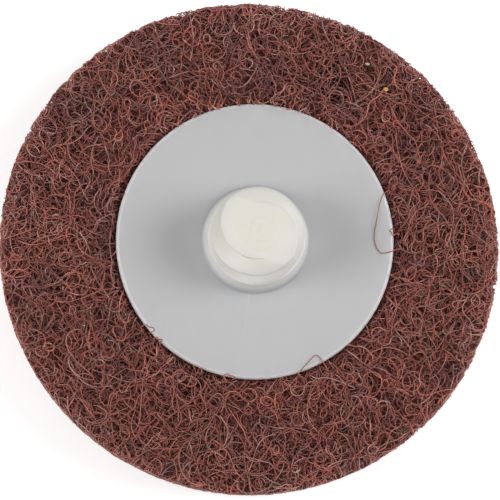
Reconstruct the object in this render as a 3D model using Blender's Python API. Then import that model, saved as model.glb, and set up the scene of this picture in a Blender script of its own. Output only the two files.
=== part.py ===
# Surface conditioning disc with a twist-in drive button.
# The disc lies on its work face, with the threaded stub pointing up.

import math
import random

import bmesh
import bpy
from mathutils import Vector

for item in list(bpy.data.objects):
    bpy.data.objects.remove(item, do_unlink=True)

MM = 0.001

# Whole disc
DISC_DIAMETER = 50.8 * MM
PIECE_GAP = 0.3 * MM
ROUND_STEPS = 60
CUT_MARGIN = 1 * MM
JOINT_OVERLAP = 0.5 * MM
GOLDEN_ANGLE = math.radians(137.508)

# Strands that stand for the nylon fibres
STRAND_DIAMETER = 0.56 * MM
STRAND_GAP = 0.06 * MM
STRAND_STEP = 0.85 * MM
STRAND_SAMPLE_STEP = 0.4 * MM
STRAND_LAYERS = [0, 0.64 * MM]
STRAND_ROOT = 0.15 * MM
STRAND_BENDS = (16, 38)
BACK_STRANDS = 38
STRAND_END_MARGIN = 1 * MM

# Curls that stand off the rim
RIM_STRANDS = 20
RIM_CLEARANCE = 0.2 * MM
RIM_DIVE = 1.1 * MM
RIM_CURL_SIZES = (1.0 * MM, 1.75 * MM)
RIM_CURL_STRETCH = 1.3
RIM_CURL_SWEEPS = (200, 275)
RIM_CURL_STEPS = 7
RIM_CURL_LOW_MARGIN = 0.5 * MM
RIM_CURL_HIGH_MARGIN = 0.3 * MM

# Grooves in the work face
FACE_GROOVES = 8
GROOVE_STEPS = 8
GROOVE_BENDS = (20, 38)
GROOVE_LEVEL = 0.05 * MM
GROOVE_AREA_MARGIN = 4.2 * MM
GROOVE_RIM_MARGIN = 2 * MM

# Body of the web
FACE_CHAMFER = 0.7 * MM
FACE_CHAMFER_INSET = 0.1 * MM
RIM_UNEVENNESS = 0.16 * MM
BACK_UNEVENNESS = 0.2 * MM
BACK_RINGS = [22.9 * MM, 20.8 * MM, 18.5 * MM, 16.1 * MM, 13.4 * MM]
BACK_EDGE_WIDTH = 0.5 * MM
BACK_EDGE_DROP = 0.15 * MM
# Rim above the chamfer: how far in it lies, at which share of the back's height
RIM_SECTION = [(0, 0.34), (0, 0.56), (0.05 * MM, 0.8)]
WEB_FLOOR_HEIGHT = 4.2 * MM
BORDER_WIDTH = 0.75 * MM
COVER_THICKNESS = 0.4 * MM
COVER_RISE = 0.35 * MM
COVER_OPENINGS = 16
OPENING_SIZES = (0.65 * MM, 1.05 * MM)
OPENING_SPACING = 1.2 * MM
OPENING_SEAT_MARGIN = 0.5 * MM
OPENING_RIM_MARGIN = 0.4 * MM
OPENING_OVERCUT = 0.1 * MM
POST_WIDTH = 1.4 * MM

# Woven scrim
YARN_PITCH = 4.8 * MM
YARN_WIDTH = 2.6 * MM
YARN_THICKNESS = 0.3 * MM
YARN_RIDGE = 0.2 * MM
SCRIM_TURN = math.radians(14)

# Drive button
BUTTON_OFFSET_X = 0.33 * MM
BUTTON_OFFSET_Y = 0.48 * MM
FLANGE_DIAMETER = 28.3 * MM
FLANGE_THICKNESS = 1.2 * MM
FLANGE_EDGE_ROUND = 0.35 * MM
COLLAR_DIAMETER = 11.06 * MM
COLLAR_TAPER = 0.48 * MM
COLLAR_HEIGHT = 2.6 * MM
COLLAR_CHAMFER = 0.15 * MM
COLLAR_FILLET = 0.3 * MM
STUB_HEIGHT = 7.2 * MM
TIP_CHAMFER = 0.15 * MM
GATE_DIAMETER = 0.8 * MM
GATE_FLOOR_DIAMETER = 0.48 * MM
GATE_DEPTH = 0.12 * MM
GATE_STEPS = 10

# Two-start right-hand thread on the stub
THREAD_STARTS = 2
THREAD_LEAD = 7.0 * MM
THREAD_DEPTH = 1.5 * MM
THREAD_STEPS = 24
THREAD_TIP_ANGLE = math.radians(162)
CREST_TIP_RADIUS = 4.35 * MM
CREST_BASE_RADIUS = 4.85 * MM
# Tooth: how deep, as a share of the thread's depth, at which share of the pitch above the crest
TOOTH_SECTION = [
    (1.25, -0.743),
    (0.97, -0.686),
    (0.85, -0.543),
    (0.65, -0.371),
    (0.35, -0.194),
    (0, -0.014),
    (0, 0.014),
    (1.25, 0.254),
]

# Heights that follow from the sizes above
STRAND_RADIUS = STRAND_DIAMETER / 2
BODY_RADIUS = DISC_DIAMETER / 2 - STRAND_DIAMETER - RIM_CLEARANCE
CHAMBER_RADIUS = BODY_RADIUS - BORDER_WIDTH
SCRIM_BOTTOM = WEB_FLOOR_HEIGHT + PIECE_GAP
SCRIM_RADIUS = CHAMBER_RADIUS - PIECE_GAP
SCRIM_TOP = SCRIM_BOTTOM + YARN_THICKNESS + YARN_RIDGE
COVER_BOTTOM = SCRIM_TOP + PIECE_GAP
SEAT_HEIGHT = COVER_BOTTOM + COVER_THICKNESS
BACK_HEIGHT = SEAT_HEIGHT + COVER_RISE
FLANGE_BOTTOM = SEAT_HEIGHT + PIECE_GAP
FLANGE_TOP = FLANGE_BOTTOM + FLANGE_THICKNESS
FLANGE_RADIUS = FLANGE_DIAMETER / 2
SEAT_RADIUS = FLANGE_RADIUS + PIECE_GAP
COLLAR_TOP = FLANGE_TOP + COLLAR_HEIGHT
COLLAR_TOP_RADIUS = COLLAR_DIAMETER / 2 - COLLAR_TAPER
STUB_TIP = FLANGE_TOP + STUB_HEIGHT
THREAD_PITCH = THREAD_LEAD / THREAD_STARTS
STRAND_LEVEL = BACK_HEIGHT + BACK_UNEVENNESS + STRAND_RADIUS + STRAND_GAP
FLANGE_CLEARANCE = SEAT_RADIUS + STRAND_RADIUS + STRAND_GAP

chance = random.Random(31)


# Helpers
def add_object(name, shape):
    bmesh.ops.remove_doubles(shape, verts=shape.verts, dist=0.000001)
    bmesh.ops.recalc_face_normals(shape, faces=shape.faces)
    mesh = bpy.data.meshes.new(name)
    shape.to_mesh(mesh)
    shape.free()
    result = bpy.data.objects.new(name, mesh)
    bpy.context.scene.collection.objects.link(result)
    return result


def lathe(name, profile, steps):
    """Turns a profile of (radius, height) pairs about the Z axis."""
    shape = bmesh.new()
    points = [shape.verts.new((radius, 0, height)) for radius, height in profile]
    lines = [shape.edges.new(pair) for pair in zip(points, points[1:])]
    bmesh.ops.spin(
        shape, geom=points + lines, cent=(0, 0, 0), axis=(0, 0, 1),
        angle=2 * math.pi, steps=steps, use_merge=True,
    )
    return add_object(name, shape)


def combine(target, tool, operation, solver="EXACT"):
    modifier = target.modifiers.new("Combine", "BOOLEAN")
    modifier.object = tool
    modifier.operation = operation
    modifier.solver = solver
    with bpy.context.temp_override(object=target, active_object=target):
        bpy.ops.object.modifier_apply(modifier="Combine")
    bpy.data.objects.remove(tool, do_unlink=True)


def keep_outer_skin(target):
    """Drops the small shells that Booleans leave sealed between crossing strands."""
    shape = bmesh.new()
    shape.from_mesh(target.data)
    left = set(shape.faces)
    shells = []
    while left:
        shell = [left.pop()]
        for face in shell:
            for edge in face.edges:
                for other in edge.link_faces:
                    if other in left:
                        left.discard(other)
                        shell.append(other)
        shells.append(shell)
    shells.sort(key=len)
    for shell in shells[:-1]:
        bmesh.ops.delete(shape, geom=shell, context="FACES")
    shape.to_mesh(target.data)
    shape.free()
    print(target.name, "shells dropped:", len(shells) - 1, "faces left:", len(shells[-1]))


def strand(points):
    """One nylon strand: a three-sided section along a path, as a closed mesh."""
    path = bpy.data.curves.new("strand", "CURVE")
    path.dimensions = "3D"
    path.bevel_mode = "OBJECT"
    path.bevel_object = strand_section
    path.use_fill_caps = True
    line = path.splines.new("POLY")
    line.points.add(len(points) - 1)
    for point, place in zip(line.points, points):
        point.co = (place[0], place[1], place[2], 1)
    source = bpy.data.objects.new("strand", path)
    bpy.context.scene.collection.objects.link(source)
    bpy.context.view_layer.update()
    graph = bpy.context.evaluated_depsgraph_get()
    mesh = bpy.data.meshes.new_from_object(source.evaluated_get(graph))
    bpy.data.objects.remove(source, do_unlink=True)
    shape = bmesh.new()
    shape.from_mesh(mesh)
    bpy.data.meshes.remove(mesh)
    return add_object("strand", shape)


def prism(name, place, turn, radius, bottom, top, sides):
    """An upright prism; radius reaches to its corners."""
    shape = bmesh.new()
    ring = [
        shape.verts.new(
            (
                place[0] + radius * math.cos(turn + 2 * math.pi * side / sides),
                place[1] + radius * math.sin(turn + 2 * math.pi * side / sides),
                bottom,
            )
        )
        for side in range(sides)
    ]
    base = shape.faces.new(ring)
    grown = bmesh.ops.extrude_face_region(shape, geom=[base])
    raised = [item for item in grown["geom"] if isinstance(item, bmesh.types.BMVert)]
    bmesh.ops.translate(shape, verts=raised, vec=(0, 0, top - bottom))
    return add_object(name, shape)


def plastic(name, colour, roughness, sheen=0.0):
    material = bpy.data.materials.new(name)
    material.use_nodes = True
    shader = material.node_tree.nodes["Principled BSDF"]
    shader.inputs["Base Color"].default_value = (*colour, 1)
    shader.inputs["Roughness"].default_value = roughness
    shader.inputs["Sheen Weight"].default_value = sheen
    return material


# Three-cornered section that every strand is swept with
section_curve = bpy.data.curves.new("strand_section", "CURVE")
section_line = section_curve.splines.new("POLY")
section_line.points.add(2)
section_line.use_cyclic_u = True
for corner, point in enumerate(section_line.points):
    turn = 2 * math.pi * corner / 3
    point.co = (STRAND_RADIUS * math.cos(turn), STRAND_RADIUS * math.sin(turn), 0, 1)
strand_section = bpy.data.objects.new("strand_section", section_curve)
bpy.context.scene.collection.objects.link(strand_section)
strand_section.hide_render = True
strand_section.display_type = "WIRE"

# Drive button: flange and collar turned in one profile
button = lathe(
    "drive_button",
    [
        (0, FLANGE_BOTTOM),
        (FLANGE_RADIUS - FLANGE_EDGE_ROUND, FLANGE_BOTTOM),
        (FLANGE_RADIUS, FLANGE_BOTTOM + FLANGE_EDGE_ROUND),
        (FLANGE_RADIUS, FLANGE_TOP - FLANGE_EDGE_ROUND),
        (FLANGE_RADIUS - FLANGE_EDGE_ROUND, FLANGE_TOP),
        (COLLAR_DIAMETER / 2 + COLLAR_FILLET, FLANGE_TOP),
        (COLLAR_DIAMETER / 2, FLANGE_TOP + COLLAR_FILLET),
        (COLLAR_TOP_RADIUS, COLLAR_TOP - COLLAR_CHAMFER),
        (COLLAR_TOP_RADIUS - COLLAR_CHAMFER, COLLAR_TOP),
        (0, COLLAR_TOP),
    ],
    ROUND_STEPS,
)


def crest_radius(height):
    """Radius of the thread's crest, which narrows evenly from the collar to the tip."""
    share = (height - COLLAR_TOP) / (STUB_TIP - COLLAR_TOP)
    return CREST_BASE_RADIUS + (CREST_TIP_RADIUS - CREST_BASE_RADIUS) * share


# Stub core, a slight cone that runs past the tip until it is trimmed
stub = lathe(
    "stub",
    [
        (0, COLLAR_TOP - JOINT_OVERLAP),
        (crest_radius(COLLAR_TOP - JOINT_OVERLAP) - THREAD_DEPTH, COLLAR_TOP - JOINT_OVERLAP),
        (crest_radius(STUB_TIP + CUT_MARGIN) - THREAD_DEPTH, STUB_TIP + CUT_MARGIN),
        (0, STUB_TIP + CUT_MARGIN),
    ],
    THREAD_STEPS,
)

# Thread teeth, swept up the helix from inside the collar to above the tip, then drawn in
# so that they follow the crest's taper
lowest = min(height for depth, height in TOOTH_SECTION)
highest = max(height for depth, height in TOOTH_SECTION)
tooth_bottom = COLLAR_TOP - highest * THREAD_PITCH - PIECE_GAP
tooth_top = STUB_TIP - lowest * THREAD_PITCH + PIECE_GAP
tooth_steps = math.ceil((tooth_top - tooth_bottom) / THREAD_LEAD * THREAD_STEPS)
for start in range(THREAD_STARTS):
    shape = bmesh.new()
    tip_angle = THREAD_TIP_ANGLE + start * 2 * math.pi / THREAD_STARTS
    first_angle = tip_angle - (STUB_TIP - tooth_bottom) / THREAD_LEAD * 2 * math.pi
    corners = []
    for depth, height in TOOTH_SECTION:
        radius = CREST_BASE_RADIUS - depth * THREAD_DEPTH
        corners.append(
            shape.verts.new(
                (
                    radius * math.cos(first_angle),
                    radius * math.sin(first_angle),
                    tooth_bottom + height * THREAD_PITCH,
                )
            )
        )
    section = shape.faces.new(corners)
    bmesh.ops.spin(
        shape,
        geom=list(section.verts) + list(section.edges) + [section],
        cent=(0, 0, 0),
        axis=(0, 0, 1),
        dvec=(0, 0, THREAD_LEAD / THREAD_STEPS),
        angle=tooth_steps * 2 * math.pi / THREAD_STEPS,
        steps=tooth_steps,
    )
    for vertex in shape.verts:
        radius = math.hypot(vertex.co.x, vertex.co.y)
        drawn = 1 + (crest_radius(vertex.co.z) - CREST_BASE_RADIUS) / radius
        vertex.co = (vertex.co.x * drawn, vertex.co.y * drawn, vertex.co.z)
    combine(stub, add_object("tooth", shape), "UNION")

# Envelope that trims the stub's foot inside the collar, and the tip flat with its edge broken
envelope = lathe(
    "envelope",
    [
        (0, FLANGE_TOP + JOINT_OVERLAP),
        (CREST_BASE_RADIUS + CUT_MARGIN, FLANGE_TOP + JOINT_OVERLAP),
        (CREST_BASE_RADIUS + CUT_MARGIN, COLLAR_TOP),
        (CREST_TIP_RADIUS + CUT_MARGIN, STUB_TIP - TIP_CHAMFER - CUT_MARGIN),
        (CREST_TIP_RADIUS - TIP_CHAMFER, STUB_TIP),
        (0, STUB_TIP),
    ],
    2 * THREAD_STEPS,
)
combine(stub, envelope, "INTERSECT")
combine(button, stub, "UNION")

# Gate mark left by the moulding in the middle of the tip
gate = lathe(
    "gate",
    [
        (0, STUB_TIP - GATE_DEPTH),
        (GATE_FLOOR_DIAMETER / 2, STUB_TIP - GATE_DEPTH),
        (GATE_DIAMETER / 2, STUB_TIP + GATE_DEPTH),
        (0, STUB_TIP + GATE_DEPTH),
    ],
    GATE_STEPS,
)
combine(button, gate, "DIFFERENCE")
button.location = (BUTTON_OFFSET_X, BUTTON_OFFSET_Y, 0)
with bpy.context.temp_override(selected_editable_objects=[button], active_object=button):
    bpy.ops.object.transform_apply(location=True, rotation=False, scale=False)


# Woven scrim: crossing yarns with a ridge where each passes over, cut round
def yarn_place(index):
    return (index + 0.5) * YARN_PITCH


half_count = math.ceil(SCRIM_RADIUS / YARN_PITCH)
rows = range(-half_count, half_count)
shape = bmesh.new()
known = {}


def weave_point(x, y, z):
    key = (round(x / MM, 4), round(y / MM, 4), round(z / MM, 4))
    if key not in known:
        known[key] = shape.verts.new((x, y, z))
    return known[key]


def weave_face(*corners):
    shape.faces.new([weave_point(*corner) for corner in corners])


yarn_low = SCRIM_BOTTOM
yarn_side = SCRIM_BOTTOM + YARN_THICKNESS
half = YARN_WIDTH / 2
for column in rows:
    for row in rows:
        x = yarn_place(column)
        y = yarn_place(row)
        west, east = x - half, x + half
        south, north = y - half, y + half
        over = (column + row) % 2 == 0
        weave_face(
            (west, south, yarn_low), (west, north, yarn_low),
            (east, north, yarn_low), (east, south, yarn_low),
        )
        if over:
            weave_face(
                (west, south, yarn_side), (x, south, SCRIM_TOP),
                (x, north, SCRIM_TOP), (west, north, yarn_side),
            )
            weave_face(
                (x, south, SCRIM_TOP), (east, south, yarn_side),
                (east, north, yarn_side), (x, north, SCRIM_TOP),
            )
        else:
            weave_face(
                (west, south, yarn_side), (east, south, yarn_side),
                (east, y, SCRIM_TOP), (west, y, SCRIM_TOP),
            )
            weave_face(
                (west, y, SCRIM_TOP), (east, y, SCRIM_TOP),
                (east, north, yarn_side), (west, north, yarn_side),
            )
        if column < rows[-1]:
            far = west + YARN_PITCH
            near_ridge = [] if over else [(east, y, SCRIM_TOP)]
            far_ridge = [(far, y, SCRIM_TOP)] if over else []
            weave_face(
                (east, south, yarn_side), (far, south, yarn_side),
                *far_ridge,
                (far, north, yarn_side), (east, north, yarn_side),
                *near_ridge,
            )
            weave_face(
                (east, south, yarn_low), (east, north, yarn_low),
                (far, north, yarn_low), (far, south, yarn_low),
            )
            for side in (south, north):
                weave_face(
                    (east, side, yarn_low), (far, side, yarn_low),
                    (far, side, yarn_side), (east, side, yarn_side),
                )
        if row < rows[-1]:
            far = south + YARN_PITCH
            near_ridge = [(x, north, SCRIM_TOP)] if over else []
            far_ridge = [] if over else [(x, far, SCRIM_TOP)]
            weave_face(
                (west, north, yarn_side),
                *near_ridge,
                (east, north, yarn_side), (east, far, yarn_side),
                *far_ridge,
                (west, far, yarn_side),
            )
            weave_face(
                (west, north, yarn_low), (west, far, yarn_low),
                (east, far, yarn_low), (east, north, yarn_low),
            )
            for side in (west, east):
                weave_face(
                    (side, north, yarn_low), (side, far, yarn_low),
                    (side, far, yarn_side), (side, north, yarn_side),
                )
bmesh.ops.holes_fill(shape, edges=[edge for edge in shape.edges if edge.is_boundary], sides=6)
bmesh.ops.triangulate(shape, faces=shape.faces)
scrim = add_object("scrim", shape)
scrim.rotation_euler = (0, 0, SCRIM_TURN)
with bpy.context.temp_override(selected_editable_objects=[scrim], active_object=scrim):
    bpy.ops.object.transform_apply(location=False, rotation=True, scale=False)
outline = lathe(
    "outline",
    [
        (0, SCRIM_BOTTOM - CUT_MARGIN),
        (SCRIM_RADIUS, SCRIM_BOTTOM - CUT_MARGIN),
        (SCRIM_RADIUS, SCRIM_TOP + CUT_MARGIN),
        (0, SCRIM_TOP + CUT_MARGIN),
    ],
    ROUND_STEPS,
)
combine(scrim, outline, "INTERSECT")

# Web body: flat work face, uneven rim and an uneven fibrous back
web = lathe(
    "abrasive_web",
    [
        (0, 0),
        (BODY_RADIUS - FACE_CHAMFER, 0),
        (BODY_RADIUS - FACE_CHAMFER_INSET, FACE_CHAMFER),
        *[(BODY_RADIUS - inset, share * BACK_HEIGHT) for inset, share in RIM_SECTION],
        (BODY_RADIUS - BACK_EDGE_WIDTH, BACK_HEIGHT - BACK_EDGE_DROP),
        *[(radius, BACK_HEIGHT) for radius in BACK_RINGS],
        (0, BACK_HEIGHT),
    ],
    ROUND_STEPS,
)
for vertex in web.data.vertices:
    place = vertex.co
    radius = math.hypot(place.x, place.y)
    if radius > CUT_MARGIN and place.z > 0.5 * FACE_CHAMFER:
        push = 1 + chance.uniform(-1, 1) * RIM_UNEVENNESS / radius
        rise = chance.uniform(-1, 1) * BACK_UNEVENNESS
        vertex.co = (place.x * push, place.y * push, place.z + rise)

# Middles of the scrim's gaps
gaps = []
for column in range(-half_count, half_count + 1):
    for row in range(-half_count, half_count + 1):
        x = column * YARN_PITCH
        y = row * YARN_PITCH
        across = x * math.cos(SCRIM_TURN) - y * math.sin(SCRIM_TURN)
        along = x * math.sin(SCRIM_TURN) + y * math.cos(SCRIM_TURN)
        inside = math.hypot(across, along) < SCRIM_RADIUS - POST_WIDTH
        if inside and (column + row) % 4 == 0:
            gaps.append((across, along))

# Flat chamber that the scrim lies in, with posts of web left in the scrim's gaps
chamber = prism("chamber", (0, 0), 0, CHAMBER_RADIUS, WEB_FLOOR_HEIGHT, COVER_BOTTOM, ROUND_STEPS)
for place in gaps:
    post = prism(
        "post", place, SCRIM_TURN + math.pi / 4, POST_WIDTH / math.sqrt(2),
        WEB_FLOOR_HEIGHT - CUT_MARGIN, COVER_BOTTOM + CUT_MARGIN, 4,
    )
    combine(chamber, post, "DIFFERENCE", "MANIFOLD")
combine(web, chamber, "DIFFERENCE", "MANIFOLD")

# Seat for the button's flange, sunk into the back
seat = prism(
    "seat", (BUTTON_OFFSET_X, BUTTON_OFFSET_Y), 0, SEAT_RADIUS,
    SEAT_HEIGHT, BACK_HEIGHT + CUT_MARGIN, ROUND_STEPS,
)
combine(web, seat, "DIFFERENCE", "MANIFOLD")

# Openings between the fibres that show the scrim
button_axis = Vector((BUTTON_OFFSET_X, BUTTON_OFFSET_Y))
openings = []
while len(openings) < COVER_OPENINGS:
    reach = math.sqrt(chance.uniform(SEAT_RADIUS**2, CHAMBER_RADIUS**2))
    angle = chance.uniform(0, 2 * math.pi)
    size = chance.uniform(*OPENING_SIZES)
    place = Vector((reach * math.cos(angle), reach * math.sin(angle)))
    kept_in = SEAT_RADIUS + size + OPENING_SEAT_MARGIN < (place - button_axis).length
    kept_in = kept_in and reach < CHAMBER_RADIUS - size - OPENING_RIM_MARGIN
    apart = all((place - other).length > size + wide + OPENING_SPACING for other, wide in openings)
    off_posts = all((place - Vector(gap)).length > size + POST_WIDTH for gap in gaps)
    if not (kept_in and apart and off_posts):
        continue
    openings.append((place, size))
    hole = prism(
        "hole", place, chance.uniform(0, 6), size,
        COVER_BOTTOM - OPENING_OVERCUT, BACK_HEIGHT + CUT_MARGIN, chance.choice((5, 6)),
    )
    combine(web, hole, "DIFFERENCE", "MANIFOLD")


def samples(places):
    """Points a sample step apart along a path."""
    found = []
    for first, last in zip(places, places[1:]):
        first, last = Vector(first), Vector(last)
        count = max(1, round((last - first).length / STRAND_SAMPLE_STEP))
        found += [first.lerp(last, step / count) for step in range(count)]
    return found + [Vector(places[-1])]


strand_points = []


def clear_of_strands(places):
    """True if the path keeps off every strand that is already there."""
    reach = STRAND_DIAMETER + STRAND_GAP
    return all(
        (point - other).length > reach for point in samples(places) for other in strand_points
    )


def on_back(places):
    """True if the path stays on the uneven back, with its ends clear of the openings."""
    reach = DISC_DIAMETER / 2 - STRAND_RADIUS
    ends = [Vector(places[0][:2]), Vector(places[-1][:2])]
    for place in places:
        flat = Vector(place[:2])
        if (flat - button_axis).length < FLANGE_CLEARANCE or flat.length > reach:
            return False
    return all(end.length < BODY_RADIUS - STRAND_END_MARGIN for end in ends) and all(
        (end - other).length > wide + STRAND_DIAMETER for end in ends for other, wide in openings
    )


def grow(places, operation="UNION"):
    strand_points.extend(samples(places))
    combine(web, strand(places), operation, "MANIFOLD")


def curl(place, heading, bend, count, drift):
    """A flat path whose bend changes slowly from step to step."""
    found = [place]
    for step in range(count):
        heading += bend
        bend += drift
        place = place + Vector((math.cos(heading), math.sin(heading))) * STRAND_STEP
        found.append(place)
    return found


# Curly strands over the back, in two layers so that they cross without touching
grown = 0
for attempt in range(4000):
    if grown == BACK_STRANDS:
        break
    angle = chance.uniform(0, 2 * math.pi)
    reach = math.sqrt(chance.uniform(SEAT_RADIUS**2, BODY_RADIUS**2))
    flat = curl(
        Vector((reach * math.cos(angle), reach * math.sin(angle))),
        chance.uniform(0, 2 * math.pi),
        chance.choice((-1, 1)) * math.radians(chance.uniform(*STRAND_BENDS)),
        chance.randint(6, 9),
        math.radians(chance.uniform(-3, 3)),
    )
    level = STRAND_LEVEL + STRAND_LAYERS[grown % 2]
    path = [(*flat[0], SEAT_HEIGHT - STRAND_ROOT)]
    path += [(*place, level) for place in flat]
    path += [(*flat[-1], SEAT_HEIGHT - STRAND_ROOT)]
    if on_back(path) and clear_of_strands(path):
        grow(path)
        grown += 1
print("strands on the back:", grown)

# Curls that stand just off the rim, each end diving into the body
rim_path = DISC_DIAMETER / 2 - STRAND_RADIUS
grown = 0
for attempt in range(4 * RIM_STRANDS):
    if grown == RIM_STRANDS:
        break
    middle = attempt * GOLDEN_ANGLE
    size = chance.uniform(*RIM_CURL_SIZES)
    height = chance.uniform(size + RIM_CURL_LOW_MARGIN, BACK_HEIGHT - size - RIM_CURL_HIGH_MARGIN)
    opening = chance.uniform(0, 2 * math.pi)
    sweep = math.radians(chance.uniform(*RIM_CURL_SWEEPS))
    path = []
    for step in range(RIM_CURL_STEPS + 1):
        turn = opening + sweep * step / RIM_CURL_STEPS
        angle = middle + size * math.cos(turn) * RIM_CURL_STRETCH / rim_path
        reach = rim_path - (RIM_DIVE if step in (0, RIM_CURL_STEPS) else 0)
        path.append((reach * math.cos(angle), reach * math.sin(angle), height + size * math.sin(turn)))
    if clear_of_strands(path):
        grow(path)
        grown += 1
print("strands on the rim:", grown)

# Grooves between the strands that were cut flat at the work face
for number in range(FACE_GROOVES):
    angle = number * GOLDEN_ANGLE
    reach = (BODY_RADIUS - GROOVE_AREA_MARGIN) * math.sqrt((number + 0.5) / FACE_GROOVES)
    flat = curl(
        Vector((reach * math.cos(angle), reach * math.sin(angle))),
        chance.uniform(0, 2 * math.pi), math.radians(chance.uniform(*GROOVE_BENDS)), GROOVE_STEPS, 0,
    )
    path = [(*place, GROOVE_LEVEL) for place in flat]
    widest = max(place.length for place in flat)
    if clear_of_strands(path) and widest < BODY_RADIUS - GROOVE_RIM_MARGIN:
        grow(path, "DIFFERENCE")
keep_outer_skin(web)

# Materials, in the colours of the photographed disc
web.data.materials.clear()
web.data.materials.append(plastic("web_nylon", (0.130, 0.048, 0.041), 0.7, 0.3))
scrim.data.materials.clear()
scrim.data.materials.append(plastic("scrim_cloth", (0.156, 0.077, 0.065), 0.8))
button.data.materials.clear()
button.data.materials.append(plastic("button_nylon", (0.68, 0.67, 0.64), 0.42))
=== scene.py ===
# Surface conditioning disc: crimped nylon fibres over woven scrim, with a moulded drive button
import math
import random

import bpy
import numpy as np
from mathutils import Matrix, Vector, noise


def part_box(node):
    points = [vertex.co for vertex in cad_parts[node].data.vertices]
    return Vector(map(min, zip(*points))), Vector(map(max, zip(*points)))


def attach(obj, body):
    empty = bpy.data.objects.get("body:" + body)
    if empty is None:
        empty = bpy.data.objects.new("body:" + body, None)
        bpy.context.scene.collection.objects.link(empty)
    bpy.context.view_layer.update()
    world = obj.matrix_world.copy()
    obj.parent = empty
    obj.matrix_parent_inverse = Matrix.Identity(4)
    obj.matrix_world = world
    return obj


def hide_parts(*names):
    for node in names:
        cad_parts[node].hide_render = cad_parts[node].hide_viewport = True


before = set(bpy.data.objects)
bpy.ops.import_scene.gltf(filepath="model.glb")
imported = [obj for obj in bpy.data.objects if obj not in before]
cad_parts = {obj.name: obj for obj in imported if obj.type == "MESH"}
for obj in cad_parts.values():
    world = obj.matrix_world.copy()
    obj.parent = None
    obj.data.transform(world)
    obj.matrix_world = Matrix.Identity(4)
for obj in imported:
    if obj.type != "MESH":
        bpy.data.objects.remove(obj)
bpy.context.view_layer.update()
mm = 0.001


# Shared helpers

def clearSelection():
    if bpy.context.mode != "OBJECT":
        bpy.ops.object.mode_set(mode="OBJECT")
    bpy.ops.object.select_all(action="DESELECT")


def pick(piece):
    clearSelection()
    piece.select_set(True)
    bpy.context.view_layer.objects.active = piece


def applyModifiers(piece):
    pick(piece)
    for modifier in list(piece.modifiers):
        bpy.ops.object.modifier_apply(modifier=modifier.name)


weldDistance = 0.002 * mm


# Draws a profile of (radius, height) points as a wire and spins it about the Z axis
def turnProfile(name, profile, steps):
    clearSelection()
    bpy.ops.mesh.primitive_plane_add(size=mm, location=(0, 0, 0))
    piece = bpy.context.object
    piece.name = name
    piece.data.name = name
    bpy.ops.object.mode_set(mode="EDIT")
    bpy.ops.mesh.select_all(action="SELECT")
    bpy.ops.mesh.merge(type="CENTER")
    bpy.ops.transform.translate(value=(profile[0][0], 0, profile[0][1]))
    for last, point in zip(profile, profile[1:]):
        bpy.ops.mesh.extrude_region_move(
            TRANSFORM_OT_translate={"value": (point[0] - last[0], 0, point[1] - last[1])}
        )
    bpy.ops.mesh.select_all(action="SELECT")
    bpy.ops.mesh.spin(steps=steps, angle=2 * math.pi, center=(0, 0, 0), axis=(0, 0, 1))
    bpy.ops.mesh.select_all(action="SELECT")
    bpy.ops.mesh.remove_doubles(threshold=weldDistance)
    bpy.ops.mesh.normals_make_consistent(inside=False)
    bpy.ops.object.mode_set(mode="OBJECT")
    return piece


def readPoints(piece):
    points = np.empty(len(piece.data.vertices) * 3, np.float32)
    piece.data.vertices.foreach_get("co", points)
    return points.reshape(-1, 3).astype(float)


def writePoints(piece, points):
    piece.data.vertices.foreach_set("co", points.astype(np.float32).ravel())
    piece.data.update()


# Puts a finished piece on the frame, with its finish and the solids that it stands for
def finishPiece(piece, material, slot, *nodes):
    piece.data.materials.clear()
    piece.data.materials.append(material)
    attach(piece, "root")
    if nodes:
        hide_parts(*nodes)
    count = sum(len(face.vertices) - 2 for face in piece.data.polygons)
    print(piece.name, "triangles:", count)


# Camera

camera = {
    "target": (0, 0, 5.8 * mm),
    "distance": 200 * mm,
    "tilt": 8.47,  # degrees from straight above
    "roll": 21.0,
    "lens": 140.8,
    "shiftY": -0.010,
    "nearest": 0.005,
}


def addCamera():
    tilt = Matrix.Rotation(math.radians(camera["tilt"]), 3, "X")
    turn = tilt @ Matrix.Rotation(math.radians(camera["roll"]), 3, "Z")
    place = Vector(camera["target"]) + turn @ Vector((0, 0, camera["distance"]))
    bpy.ops.object.camera_add(location=place, rotation=turn.to_euler())
    viewer = bpy.context.object
    viewer.data.lens = camera["lens"]
    viewer.data.shift_y = camera["shiftY"]
    viewer.data.clip_start = camera["nearest"]
    bpy.context.scene.camera = viewer


clearSelection()
addCamera()
print("camera placed")

# Studio: large soft lamps on both sides, an even world and a pale floor

studio = {
    "worldLight": 0.2,
    "floorSize": 3.0,
    "floorBounce": 0.55,
    "floorGlow": 0.42,  # seen by the same rays as the white backdrop
    "floorDrop": 0.02 * mm,
    "lamps": [  # direction and height in degrees, distance, size, watts
        ("keyLamp", 27, 42, 0.5, 0.24, 1.4),
        ("fillLamp", 206, 38, 0.5, 0.22, 1.2),
        ("topLamp", -69, 80, 0.6, 0.45, 0.25),
    ],
}


def addNode(tree, kind, settings=None, **inputs):
    node = tree.nodes.new("ShaderNode" + kind)
    for key, value in (settings or {}).items():
        setattr(node, key, value)
    for key, value in inputs.items():
        node.inputs[key.replace("_", " ")].default_value = value
    return node


def newMaterial(name):
    material = bpy.data.materials.new(name)
    material.use_nodes = True
    tree = material.node_tree
    return material, tree, tree.nodes["Principled BSDF"]


# 1 for rays that see the white backdrop: from the camera, by reflection or through something clear
def backdropRays(tree):
    path = addNode(tree, "LightPath")
    total = addNode(tree, "Math", {"operation": "ADD"})
    tree.links.new(path.outputs["Is Camera Ray"], total.inputs[0])
    tree.links.new(path.outputs["Is Glossy Ray"], total.inputs[1])
    seen = addNode(tree, "Math", {"operation": "ADD", "use_clamp": True})
    tree.links.new(total.outputs[0], seen.inputs[0])
    tree.links.new(path.outputs["Is Transmission Ray"], seen.inputs[1])
    return seen.outputs[0]


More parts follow.
